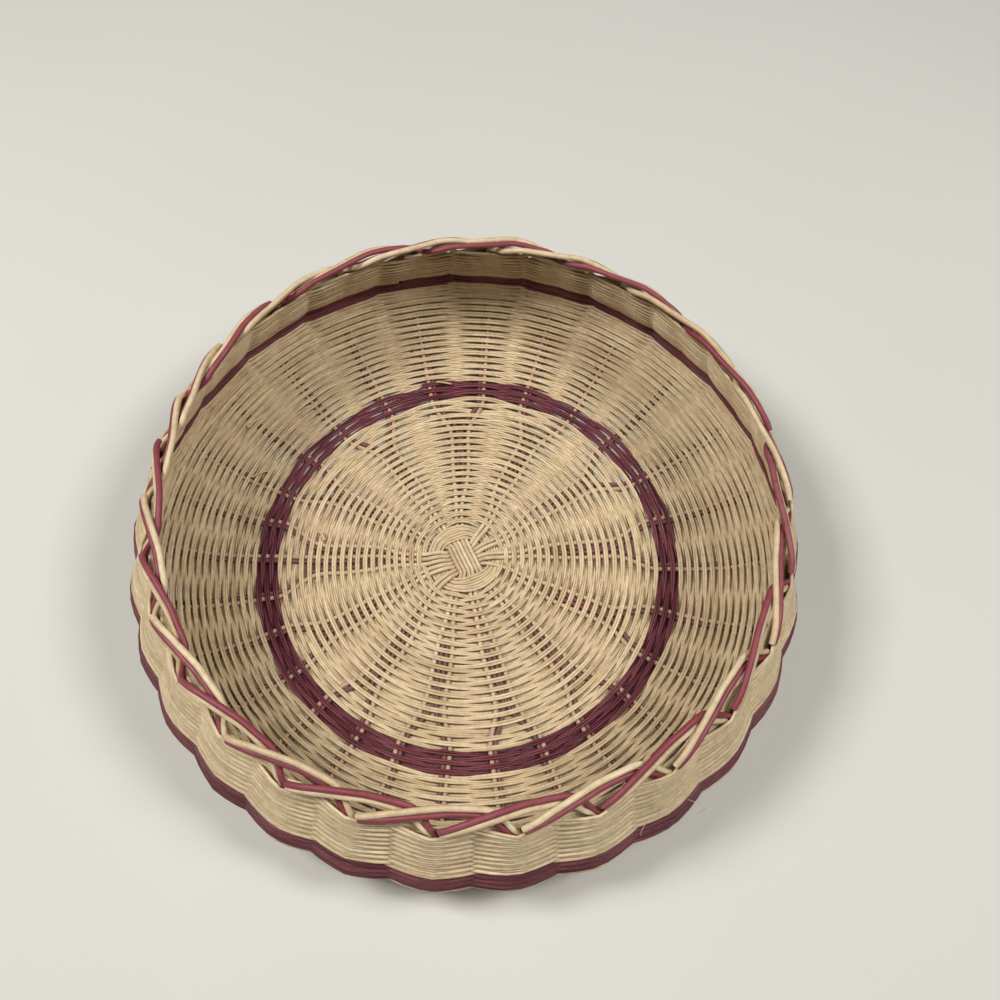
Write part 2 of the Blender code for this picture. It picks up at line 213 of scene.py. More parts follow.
class BasketSizes(bpy.types.PropertyGroup):
    """Sizes of the reed and of the weave."""

    stake_diameter: bpy.props.FloatProperty(
        name="Stake diameter", description="Thickness of the stakes below the border",
        default=0.0023, min=0.001, max=0.004, unit="LENGTH")
    border_diameter: bpy.props.FloatProperty(
        name="Border diameter", description="Thickness of the reed ends where they make the border",
        default=0.0028, min=0.001, max=0.004, unit="LENGTH")
    weaver_diameter: bpy.props.FloatProperty(
        name="Weaver diameter", description="Thickness of each of the two weavers of a row",
        default=0.00128, min=0.0005, max=0.002, unit="LENGTH")
    row_pitch: bpy.props.FloatProperty(
        name="Base row pitch", description="Distance from one row of weaving to the next on the base",
        default=0.00204, min=0.001, max=0.004, unit="LENGTH")
    wall_row_pitch: bpy.props.FloatProperty(
        name="Wall row pitch", description="Distance from one row of weaving to the next on the wall",
        default=0.00164, min=0.001, max=0.004, unit="LENGTH")
    wander: bpy.props.FloatProperty(
        name="Wander", description="How far a weaver strays from its row, as hand weaving does",
        default=0.00011, min=0.0, max=0.0005, unit="LENGTH")


class BasketColours(bpy.types.PropertyGroup):
    """Colours of the natural and the dyed reed."""

    natural: bpy.props.FloatVectorProperty(
        name="Natural reed", description="Colour of most of the natural reed",
        default=(0.60, 0.46, 0.265), size=3, subtype="COLOR", min=0.0, max=1.0)
    natural_light: bpy.props.FloatVectorProperty(
        name="Pale natural reed", description="Colour of the palest natural strands",
        default=(0.88, 0.74, 0.50), size=3, subtype="COLOR", min=0.0, max=1.0)
    natural_dark: bpy.props.FloatVectorProperty(
        name="Dark natural reed", description="Colour of the brownest natural strands",
        default=(0.27, 0.165, 0.075), size=3, subtype="COLOR", min=0.0, max=1.0)
    stained: bpy.props.FloatVectorProperty(
        name="Stained reed", description="Rosy colour of natural reed that took up a little dye",
        default=(0.58, 0.37, 0.28), size=3, subtype="COLOR", min=0.0, max=1.0)
    dyed: bpy.props.FloatVectorProperty(
        name="Dyed reed", description="Colour of most of the dyed reed",
        default=(0.115, 0.012, 0.030), size=3, subtype="COLOR", min=0.0, max=1.0)
    dyed_light: bpy.props.FloatVectorProperty(
        name="Worn dyed reed", description="Colour of dyed reed where the dye is thin or rubbed",
        default=(0.30, 0.085, 0.095), size=3, subtype="COLOR", min=0.0, max=1.0)
    dyed_border: bpy.props.FloatVectorProperty(
        name="Dyed reed in the border", description="Redder colour of the dyed ends in the border",
        default=(0.26, 0.042, 0.055), size=3, subtype="COLOR", min=0.0, max=1.0)
    # Partly dye that ran and partly painted shade: the natural stakes are rosier and darker inside the
    # weave than in the border.
    natural_stain_and_shade: bpy.props.FloatVectorProperty(
        name="Natural reed in the weave", description="Rosy tone and painted shade of the natural stakes below the border",
        default=(0.44, 0.295, 0.21), size=3, subtype="COLOR", min=0.0, max=1.0)
    # Partly a browner dye and partly painted shade: the dyed stakes are browner and darker inside the
    # weave than in the border.
    dyed_tone_and_shade: bpy.props.FloatVectorProperty(
        name="Dyed reed in the weave", description="Brownish tone and painted shade of the dyed stakes below the border",
        default=(0.15, 0.068, 0.058), size=3, subtype="COLOR", min=0.0, max=1.0)
    dyed_dark: bpy.props.FloatVectorProperty(
        name="Deep dyed reed", description="Colour of dyed reed where the dye is deepest",
        default=(0.045, 0.004, 0.013), size=3, subtype="COLOR", min=0.0, max=1.0)


def direction(azimuth):
    angle = math.radians(azimuth)
    return Vector((math.cos(angle), math.sin(angle), 0.0))


def across(azimuth):
    angle = math.radians(azimuth)
    return Vector((-math.sin(angle), math.cos(angle), 0.0))


def raised(height):
    return Vector((0.0, 0.0, height))


def share_between(value, low, high):
    """How far a value has come from low to high, kept between 0 and 1."""
    return np.clip((value - low) / (high - low), 0.0, 1.0)


def eased(share):
    return share * share * (3.0 - 2.0 * share)


def group_of(stake):
    return next(group for group in GROUPS if stake in group)


def group_number(stake):
    return next(index for index, group in enumerate(GROUPS) if stake in group)


def group_azimuth(group):
    return sum(STAKE_AZIMUTHS[stake] for stake in group) / len(group)


def natural_side(stake):
    """Side of the pair on which the natural reed lies: -1 is clockwise, +1 the other way."""
    return 1 if stake == group_of(stake)[-1] else -1


def along_line(points):
    """Distance from the first point to each point."""
    return np.concatenate([[0.0], np.cumsum(np.linalg.norm(np.diff(points, axis=0), axis=1))])


def smooth_path(points, spacing):
    """Points at an even spacing along a smooth curve through the given points."""
    given = np.array([tuple(point) for point in points], float)
    first = 2.0 * given[0] - given[1]
    last = 2.0 * given[-1] - given[-2]
    padded = np.vstack([first, given, last])
    steps = 24
    share = np.linspace(0.0, 1.0, steps, endpoint=False)[:, None]
    pieces = []
    for index in range(1, len(padded) - 2):
        a, b, c, d = padded[index - 1:index + 3]
        gap = np.linalg.norm(c - b)
        back = max(np.linalg.norm(b - a), 1e-6)
        ahead = max(np.linalg.norm(d - c), 1e-6)
        leave = gap * ((b - a) / back + (c - b) / gap) * 0.5
        arrive = gap * ((c - b) / gap + (d - c) / ahead) * 0.5
        h1 = 2.0 * share ** 3 - 3.0 * share ** 2 + 1.0
        h2 = share ** 3 - 2.0 * share ** 2 + share
        h3 = -2.0 * share ** 3 + 3.0 * share ** 2
        h4 = share ** 3 - share ** 2
        pieces.append(h1 * b + h2 * leave + h3 * c + h4 * arrive)
    dense = np.vstack(pieces + [given[-1:]])
    length = along_line(dense)
    count = max(2, int(round(length[-1] / spacing)) + 1)
    places = np.linspace(0.0, length[-1], count)
    return np.column_stack([np.interp(places, length, dense[:, axis]) for axis in range(3)])


class WallShape:
    """Middle surface of the weave: distance along it from the centre gives radius and height."""

    def __init__(self):
        curve = smooth_path([(radius, height, 0.0) for radius, height in PROFILE + (WALL_TOP,)], 0.5)
        self.radius = curve[:, 0]
        self.height = curve[:, 1]
        self.along = along_line(curve[:, :2])
        self.slope_r = np.gradient(self.radius, self.along)
        self.slope_z = np.gradient(self.height, self.along)

    def at_height(self, height):
        rising = self.radius > WALL_R
        return float(np.interp(height, self.height[rising], self.along[rising]))

    def point(self, azimuth, along, lift):
        """Points of the surface moved by lift towards the inside of the basket."""
        angle = np.radians(azimuth)
        slope_r = np.interp(along, self.along, self.slope_r)
        slope_z = np.interp(along, self.along, self.slope_z)
        radius = np.interp(along, self.along, self.radius) - slope_z * lift
        height = np.interp(along, self.along, self.height) + slope_r * lift
        return np.column_stack([radius * np.cos(angle), radius * np.sin(angle), height])


WALL = WallShape()


def settings():
    return bpy.context.scene.basket_sizes, bpy.context.scene.basket_colours


# Materials

def new_group(name, inputs, outputs):
    group = bpy.data.node_groups.new(name, "ShaderNodeTree")
    for socket, kind, default in inputs:
        item = group.interface.new_socket(name=socket, in_out="INPUT", socket_type=kind)
        item.default_value = default
    for socket, kind in outputs:
        group.interface.new_socket(name=socket, in_out="OUTPUT", socket_type=kind)
    return group


def node(tree, kind, values=None, **settings_of):
    item = tree.nodes.new(kind)
    for name, value in settings_of.items():
        setattr(item, name, value)
    for name, value in (values or {}).items():
        item.inputs[name].default_value = value
    return item


def math_node(tree, operation, first, second=None):
    item = node(tree, "ShaderNodeMath", operation=operation)
    for slot, value in enumerate((first, second)):
        if value is None:
            continue
        if hasattr(value, "links"):
            tree.links.new(value, item.inputs[slot])
        else:
            item.inputs[slot].default_value = value
    return item.outputs[0]


def fibre_group():
    """Long fibres of the reed: fine lines along it, and a slow change of tone from length to length.

    The UV map holds metres along the strand and the share of the way round it.
    """
    group = new_group(
        "reed_fibre",
        [("Lines", "NodeSocketFloat", 1.0), ("Strand Length", "NodeSocketFloat", 0.35)],
        [("Tone", "NodeSocketFloat"), ("Lines", "NodeSocketFloat"), ("Height", "NodeSocketFloat")])
    links = group.links
    given = node(group, "NodeGroupInput")
    put = node(group, "NodeGroupOutput")
    chart = node(group, "ShaderNodeUVMap", uv_map="UVMap")
    parts = node(group, "ShaderNodeSeparateXYZ")
    links.new(chart.outputs["UV"], parts.inputs[0])
    turn = math_node(group, "MULTIPLY", parts.outputs["Y"], 2.0 * math.pi)
    sideways = math_node(group, "MULTIPLY", math_node(group, "COSINE", turn), FIBRE_RING)
    upright = math_node(group, "MULTIPLY", math_node(group, "SINE", turn), FIBRE_RING)
    stretched = math_node(group, "MULTIPLY", parts.outputs["X"], FIBRE_STRETCH)
    place = node(group, "ShaderNodeCombineXYZ")
    links.new(sideways, place.inputs["X"])
    links.new(upright, place.inputs["Y"])
    links.new(stretched, place.inputs["Z"])
    fine = node(group, "ShaderNodeTexNoise", {"Scale": 1.6, "Detail": 4.0, "Roughness": 0.62})
    links.new(place.outputs[0], fine.inputs["Vector"])
    lines = node(group, "ShaderNodeMapRange", {"From Min": 0.32, "From Max": 0.68})
    links.new(fine.outputs["Fac"], lines.inputs["Value"])
    strength = math_node(group, "MULTIPLY", lines.outputs[0], given.outputs["Lines"])
    lengths = math_node(group, "DIVIDE", parts.outputs["X"], given.outputs["Strand Length"])
    slow = node(group, "ShaderNodeTexNoise", {"Scale": 1.0, "Detail": 2.0, "Roughness": 0.7},
                noise_dimensions="1D")
    links.new(lengths, slow.inputs["W"])
    tone = node(group, "ShaderNodeMapRange", {"From Min": 0.28, "From Max": 0.72})
    links.new(slow.outputs["Fac"], tone.inputs["Value"])
    links.new(tone.outputs[0], put.inputs["Tone"])
    links.new(strength, put.inputs["Lines"])
    links.new(fine.outputs["Fac"], put.inputs["Height"])
    return group


def blotch_group():
    """Uneven patches over the whole basket: where dye ran, and where hands and light changed it."""
    group = new_group(
        "uneven_patches", [("Scale", "NodeSocketFloat", 30.0), ("Amount", "NodeSocketFloat", 1.0)],
        [("Mask", "NodeSocketFloat")])
    given = node(group, "NodeGroupInput")
    put = node(group, "NodeGroupOutput")
    place = node(group, "ShaderNodeTexCoord")
    noise = node(group, "ShaderNodeTexNoise", {"Detail": 3.0, "Roughness": 0.6, "Distortion": 0.3})
    group.links.new(place.outputs["Object"], noise.inputs["Vector"])
    group.links.new(given.outputs["Scale"], noise.inputs["Scale"])
    sharp = node(group, "ShaderNodeMapRange", {"From Min": 0.42, "From Max": 0.7})
    group.links.new(noise.outputs["Fac"], sharp.inputs["Value"])
    amount = math_node(group, "MULTIPLY", sharp.outputs[0], given.outputs["Amount"])
    group.links.new(amount, put.inputs["Mask"])
    return group


def place_group(tree, group, values):
    item = tree.nodes.new("ShaderNodeGroup")
    item.node_tree = group
    for name, value in values.items():
        item.inputs[name].default_value = value
    return item


def mix_colour(tree, factor, first, second, blend="MIX"):
    item = node(tree, "ShaderNodeMix", data_type="RGBA", blend_type=blend)
    for slot, value in ((0, factor), (6, first), (7, second)):
        if hasattr(value, "links"):
            tree.links.new(value, item.inputs[slot])
        elif slot == 0:
            item.inputs[slot].default_value = value
        else:
            item.inputs[slot].default_value = (*value, 1.0)
    return item.outputs[2]


def stain_and_shade_below_group():
    """Mask of what lies outside the centre and below the border, broken by patches: where the stakes
    take a tone that is partly stain and partly painted shade.
    """
    group = new_group(
        "below_border_stain_and_shade", [("Amount", "NodeSocketFloat", 1.0), ("Full From", "NodeSocketFloat", 0.09)],
        [("Mask", "NodeSocketFloat")])
    given = node(group, "NodeGroupInput")
    put = node(group, "NodeGroupOutput")
    place = node(group, "ShaderNodeTexCoord")
    parts = node(group, "ShaderNodeSeparateXYZ")
    group.links.new(place.outputs["Object"], parts.inputs[0])
    fall = node(group, "ShaderNodeMapRange",
                {"From Min": 0.060, "From Max": 0.068, "To Min": 1.0, "To Max": 0.0})
    group.links.new(parts.outputs["Z"], fall.inputs["Value"])
    noise = node(group, "ShaderNodeTexNoise", {"Scale": 24.0, "Detail": 2.0})
    group.links.new(place.outputs["Object"], noise.inputs["Vector"])
    patches = node(group, "ShaderNodeMapRange",
                   {"From Min": 0.55, "From Max": 0.68, "To Min": 1.0, "To Max": 0.45})
    group.links.new(noise.outputs["Fac"], patches.inputs["Value"])
    squares = [math_node(group, "MULTIPLY", parts.outputs[axis], parts.outputs[axis])
               for axis in ("X", "Y")]
    reach = math_node(group, "SQRT", math_node(group, "ADD", *squares))
    outside = node(group, "ShaderNodeMapRange", {"From Min": 0.03})
    group.links.new(given.outputs["Full From"], outside.inputs["From Max"])
    group.links.new(reach, outside.inputs["Value"])
    both = math_node(group, "MULTIPLY", fall.outputs[0], patches.outputs[0])
    both = math_node(group, "MULTIPLY", both, outside.outputs[0])
    group.links.new(math_node(group, "MULTIPLY", both, given.outputs["Amount"]), put.inputs["Mask"])
    return group


def reed_material(name, groups, light, middle, dark, stain, stain_amount, roughness, line_depth,
                  below=None, below_from=0.09):
    """Reed with long fibres and uneven patches, and, if given, a darker tone below the border that is
    partly stain and partly painted shade.
    """
    material = bpy.data.materials.new(name)
    material.use_nodes = True
    tree = material.node_tree
    shader = tree.nodes["Principled BSDF"]
    fibre = place_group(tree, groups["fibre"], {"Lines": line_depth, "Strand Length": 0.16})
    patches = place_group(tree, groups["patches"], {"Scale": 26.0, "Amount": stain_amount})
    grain = place_group(tree, groups["patches"], {"Scale": 260.0, "Amount": 0.35})
    base = mix_colour(tree, fibre.outputs["Tone"], middle, light)
    lined = mix_colour(tree, fibre.outputs["Lines"], base, dark)
    stained = mix_colour(tree, patches.outputs["Mask"], lined, stain)
    flecked = mix_colour(tree, grain.outputs["Mask"], stained, dark)
    # Below the border the reed takes a tone that is partly stain and partly painted shade.
    if below:
        stain_and_shade_mask = place_group(tree, groups["below"], {"Amount": 0.92, "Full From": below_from})
        flecked = mix_colour(tree, stain_and_shade_mask.outputs["Mask"], flecked, below)
    tree.links.new(flecked, shader.inputs["Base Color"])
    rough = node(tree, "ShaderNodeMapRange", {"To Min": roughness - 0.08, "To Max": roughness + 0.14})
    tree.links.new(fibre.outputs["Height"], rough.inputs["Value"])
    tree.links.new(rough.outputs[0], shader.inputs["Roughness"])
    bump = node(tree, "ShaderNodeBump", {"Strength": 0.25, "Distance": 0.0002})
    tree.links.new(fibre.outputs["Height"], bump.inputs["Height"])
    tree.links.new(bump.outputs[0], shader.inputs["Normal"])
    shader.inputs["Specular IOR Level"].default_value = 0.35
    return material


def reed_materials():
    """The four finishes, made once and shared by the operators."""
    names = ("natural_weaver", "natural_stake", "dyed_weaver", "dyed_stake")
    if names[0] in bpy.data.materials:
        return {name: bpy.data.materials[name] for name in names}
    _, colours = settings()
    groups = {"fibre": fibre_group(), "patches": blotch_group(), "below": stain_and_shade_below_group()}
    light = tuple(colours.natural_light)
    natural = tuple(colours.natural)
    dark = tuple(colours.natural_dark)
    stained = tuple(colours.stained)
    worn = tuple(colours.dyed_light)
    dyed = tuple(colours.dyed)
    deep = tuple(colours.dyed_dark)
    return {
        "natural_weaver": reed_material(
            "natural_weaver", groups, light, natural, dark, stained,
            stain_amount=0.22, roughness=0.52, line_depth=0.34),
        # Below the border the natural stakes take a rosier, darker tone that is partly dye and partly
        # painted shade.
        "natural_stake": reed_material(
            "natural_stake", groups, light, natural, dark, stained,
            stain_amount=0.4, roughness=0.5, line_depth=0.4,
            below=tuple(colours.natural_stain_and_shade)),
        "dyed_weaver": reed_material(
            "dyed_weaver", groups, worn, dyed, deep, deep,
            stain_amount=0.4, roughness=0.46, line_depth=0.5),
        # Below the border the dyed stakes take a browner, darker tone that is partly dye and partly
        # painted shade.
        "dyed_stake": reed_material(
            "dyed_stake", groups, worn, tuple(colours.dyed_border), dyed, worn,
            stain_amount=0.4, roughness=0.46, line_depth=0.5,
            below=tuple(colours.dyed_tone_and_shade), below_from=0.034),
    }


# Strands

def select_only(*items):
    bpy.ops.object.select_all(action="DESELECT")
    for item in items:
        item.select_set(True)
    bpy.context.view_layer.objects.active = items[0]


def strand(name, points, diameters, offset):
    """One round strand along the points, with metres along it and the way round it in its UV map.

    The offset, in metres, gives each strand a part of the fibre pattern to itself.
    """
    curve = bpy.data.curves.new(name, "CURVE")
    curve.dimensions = "3D"
    curve.bevel_depth = 0.5 * MM
    curve.bevel_resolution = 1 if max(diameters) < FINE_WIDTH else 2
    curve.use_fill_caps = True
    spline = curve.splines.new("POLY")
    points = shifted(points)
    count = len(points)
    spline.points.add(count - 1)
    places = np.column_stack([points * MM, np.ones(count)])
    spline.points.foreach_set("co", places.ravel())
    spline.points.foreach_set("radius", np.asarray(diameters, float))
    item = bpy.data.objects.new(name, curve)
    bpy.context.scene.collection.objects.link(item)
    select_only(item)
    bpy.ops.object.convert(target="MESH")
    item = bpy.context.view_layer.objects.active
    length = along_line(points)[-1] * MM
    chart = item.data.uv_layers[0]
    chart.name = "UVMap"
    values = np.zeros(2 * len(chart.data))
    chart.data.foreach_get("uv", values)
    values[0::2] = values[0::2] * length + offset
    chart.data.foreach_set("uv", values)
    bpy.ops.object.shade_smooth()
    return item


def one_piece(name, strands, material, slot, *nodes):
    """Joins the strands into one named piece that stands for the CAD nodes."""
    select_only(*strands)
    if len(strands) > 1:
        bpy.ops.object.join()
    piece = bpy.context.view_layer.objects.active
    piece.name = name
    piece.data.name = name
    piece.data.materials.clear()
    piece.data.materials.append(material)
    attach(piece, "root")
    if nodes:
        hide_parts(*nodes)
    return piece


def shifted(points):
    """The centre cross lies a little to one side of the base, and the rim a little to another."""
    points = np.array([tuple(point) for point in points], float)
    radius = np.hypot(points[:, 0], points[:, 1])
    centre = 1.0 - eased(share_between(radius, INNER_WEAVE_R, SHIFT_ENDS_R))
    rim = share_between(points[:, 2], *RIM_SHIFT_HEIGHTS)
    for axis in (0, 1):
        points[:, axis] += CROSS_SHIFT[axis] * centre + RIM_SHIFT[axis] * rim
    return points


def group_direction(number, radius):
    """Azimuth of a group of reeds at a radius: it turns from the cross's arms to its own place."""
    turned = eased(share_between(radius, INNER_WEAVE_R, INNER_TURN_R))
    first = INNER_AZIMUTHS[number]
    return first + turned * (group_azimuth(GROUPS[number]) - first)


def group_offsets(stake, radius, pitch):
    """Sideways places of the natural and the dyed reed inside their group on the base.

    The natural reeds start side by side, open to let the dyed ones in between, and then spread.
    """
    group = group_of(stake)
    side = natural_side(stake)
    spread = max(0.0, (radius - DYED_SHOWS_R) / (GROUP_END_R - DYED_SHOWS_R))
    opened = share_between(radius, SPREAD_START_R, DYED_SHOWS_R)
    if len(group) == 2:
        natural = side * ((PAIR_PLACE + PAIR_OPENS * opened) * pitch + PAIR_SPREADS * spread)
        return natural, side * 0.5 * pitch
    if stake == group[1]:
        return -0.5 * pitch * opened, 0.5 * pitch
    natural = side * ((TRIPLE_PLACE + TRIPLE_OPENS * opened) * pitch + TRIPLE_SPREADS * spread)
    return natural, side * 1.5 * pitch + TRIPLE_SPREADS * side * spread


def outer_points(stake, natural, diameter, start=OUTER_START_R):
    """Control points of one reed from the first rounds, or its own start, to the wall's top.

    On the wall the two reeds of a pair change places, one passing behind the other.
    """
    pitch = diameter + REED_GAP
    number = group_number(stake)
    column = 0 if natural else 1
    points = []
    for radius in (start,) + GROUP_RADII:
        if radius < start or (points and radius - start < SHORTEST_STEP):
            continue
        offset = group_offsets(stake, radius, pitch)[column]
        middle = group_direction(number, radius)
        points.append(direction(middle) * radius + across(middle) * offset + raised(BASE_MIDDLE))
    azimuth = STAKE_AZIMUTHS[stake]
    side = 0.5 * pitch * natural_side(stake) * (1 if natural else -1)
    for radius, height in ((PAIR_START_R, BASE_MIDDLE),) + PROFILE[FIRST_WALL_ROW:]:
        turned = math.pi * share_between(height, *CROSSING_Z)
        depth = CROSSING_DEPTH * side * math.sin(turned)
        points.append(direction(azimuth) * (radius + depth)
                      + across(azimuth) * side * math.cos(turned) + raised(height))
    return points


def azimuth_at(stake, turns):
    """Azimuth that lies a number of stake spacings clockwise of a stake."""
    whole = math.floor(turns)
    here = STAKE_AZIMUTHS[(stake - whole) % STAKES]
    there = STAKE_AZIMUTHS[(stake - whole - 1) % STAKES]
    return here - (turns - whole) * ((here - there) % 360.0)


def border_points(stake, natural, rng):
    """Control points of a border end: in over the rim, under the next ends, then out over them.

    On the far side the arcs stand further out and their tails further in.
    """
    trailing = (natural_side(stake) < 0) == natural
    swell = rng.uniform(*BORDER_SWELL)
    reach = rng.uniform(*BORDER_REACH)
    points = []
    rows = BORDER_INNER if trailing else BORDER_OUTER
    outermost = FAR_OUTER_SHIFT * FAR_OUTER_SHARE["natural" if natural else "dyed"]
    outermost = 0.0 if trailing else outermost
    for index, (along, outward, up) in enumerate(rows):
        share = math.sin(math.pi * index / (len(rows) - 1))
        azimuth = azimuth_at(stake, (along + reach * share) / BORDER_PITCH)
        far = max(0.0, math.sin(math.radians(azimuth) + FAR_TURN))
        over = share_between(along, *FAR_START)
        tail = share_between(along, *FAR_TAIL)
        radius = BORDER_R + outward + SWELL_OUTWARD * swell * share
        radius += far * (over * (FAR_ARC_SHIFT + outermost) - tail * (FAR_TAIL_SHIFT + outermost))
        points.append(direction(azimuth) * radius + raised(BORDER_Z + up + swell * share))
    return points


def arm_points(stake, offset, over):
    """Control points of one arm from inside the cross out to the weave."""
    table = OVER_ENDS if over else UNDER_ENDS
    turn = CROSS_AZIMUTH if over else CROSS_AZIMUTH - 90.0
    first = any(stake == ends[0] for ends in table)
    azimuth = turn if first else turn + 180.0
    sideways = across(turn) * offset
    widest = 0.5 * (len(table) - 1) * CROSS_PITCH["over" if over else "under"]
    rounded = 0.1 * (widest - abs(offset))
    arm = OVER_ARM if over else UNDER_ARM
    (inner_reach, inner_height), (outer_reach, outer_height) = arm["bound"]
    points = [direction(azimuth) * inner_reach + sideways + raised(inner_height),
              direction(azimuth) * (outer_reach + rounded) + sideways + raised(outer_height)]
    middle = group_direction(group_number(stake), INNER_WEAVE_R)
    spot = group_offsets(stake, INNER_WEAVE_R, ARM_SPREAD)[0]
    target = direction(middle) * INNER_WEAVE_R + across(middle) * spot
    start = points[-1]
    for share, height in zip(ARM_STEPS, arm["outside"]):
        point = start.lerp(target, share)
        point.z = height
        points.append(point)
    return points


def reed_sizes(points, stake_size, border_size, middle_size):
    """Thickness along a reed: thinner in the cross and fuller in the border."""
    points = np.asarray(points)
    radius = np.hypot(points[:, 0], points[:, 1])
    size = np.interp(radius, THICKENING_R, [middle_size, stake_size])
    return size + share_between(points[:, 2], *BORDER_FULL_HEIGHTS) * (border_size - size)


class BASKET_OT_natural_reeds(bpy.types.Operator):
    """Lays the natural reeds from rim to rim through the centre cross, and the one added at a side."""

    bl_idname = "basket.natural_reeds"
    bl_label = "Natural reeds"

    def execute(self, context):
        sizes, _ = settings()
        material = reed_materials()["natural_stake"]
        thick = sizes.stake_diameter / MM
        border = sizes.border_diameter / MM
        rng = np.random.default_rng(11)
        for kind, table, over in (("over", OVER_ENDS, True), ("under", UNDER_ENDS, False)):
            for number, ends in enumerate(table):
                offset = (number - 0.5 * (len(table) - 1)) * CROSS_PITCH[kind]
                halves = []
                for stake in ends:
                    half = arm_points(stake, offset, over) + outer_points(stake, True, thick)
                    halves.append(half + border_points(stake, True, rng))
                path = smooth_path(halves[0][::-1] + halves[1], REED_STEP)
                name = f"natural_reed_{kind}_{number + 1:02d}"
                widths = reed_sizes(path, thick, border, CROSS_PITCH[kind] - CROSS_REED_GAP)
                item = strand(name, path, widths, rng.uniform(0.0, 40.0))
                one_piece("laid_" + name, [item], material, "natural_reed", name)
        path = outer_points(ADDED_STAKE, True, thick) + border_points(ADDED_STAKE, True, rng)
        path = smooth_path(path, REED_STEP)
        item = strand("added", path, reed_sizes(path, thick, border, CROSS_REED_WIDTH), 3.0)
        one_piece("laid_natural_reed_added", [item], material, "natural_reed", "natural_reed_added")
        return {"FINISHED"}


class BASKET_OT_dyed_reeds(bpy.types.Operator):
    """Lays a dyed reed beside each natural end, from the inner rounds up into the border."""

    bl_idname = "basket.dyed_reeds"
    bl_label = "Dyed reeds"

    def execute(self, context):
        sizes, _ = settings()
        material = reed_materials()["dyed_stake"]
        thick = sizes.stake_diameter / MM
        border = sizes.border_diameter / MM
        rng = np.random.default_rng(23)
        for stake in range(STAKES):
            start = DYED_LONG_START_R if stake in LONG_DYED else rng.uniform(*DYED_START_R)
            path = outer_points(stake, False, thick, start) + border_points(stake, False, rng)
            path = smooth_path(path, REED_STEP)
            name = f"dyed_reed_{stake + 1:02d}"
            widths = reed_sizes(path, thick, border, CROSS_REED_WIDTH)
            item = strand(name, path, widths, rng.uniform(0.0, 40.0))
            one_piece("laid_" + name, [item], material, "dyed_reed", name)
        return {"FINISHED"}


# Weaving

def crossing_count(azimuth, radius, grouped):
    """Number of stakes or groups passed up to each azimuth, growing by their count each turn."""
    if grouped:
        columns = [group_direction(number, radius) for number in range(len(GROUPS))]
    else:
        columns = [np.full_like(azimuth, place) for place in STAKE_AZIMUTHS]
    count = len(columns)
    columns.append(columns[0] + 360.0)
    turns = np.floor((azimuth - columns[0]) / 360.0)
    rest = azimuth - 360.0 * turns
    result = turns * count
    for low, high in zip(columns, columns[1:]):
        result = result + np.clip((rest - low) / (high - low), 0.0, 1.0)
    return result


def wander(length, amount, rng):
    """Slow random straying at each length along a strand."""
    total = np.zeros_like(length)
    for wave in WANDER_WAVES:
        total += np.sin(2.0 * np.pi * (length / wave + rng.uniform())) * rng.uniform(0.4, 1.0)
    return total * amount / WANDER_REACH


def row_count(start, end, pitch):
    return max(1, int(round((end - start) * MM / pitch)))


def woven_bands(sizes):
    """Each band from the switch to single stakes up to the rim: start, end, pitch, rows below."""
    base, wall = sizes.row_pitch, sizes.wall_row_pitch
    marks = [SWITCH_R, BASE_BAND_R[0], BASE_BAND_R[1]]
    marks += [WALL.at_height(BAND_HEIGHTS[key]) for key in ("turn", "lower", "dyed", "upper", "top")]
    pitches = (base, base, base, 0.5 * (base + wall), wall, wall, wall)
    below = 0
    bands = []
    for start, end, pitch in zip(marks, marks[1:], pitches):
        bands.append((start, end, pitch, below))
        below += row_count(start, end, pitch)
    return bands


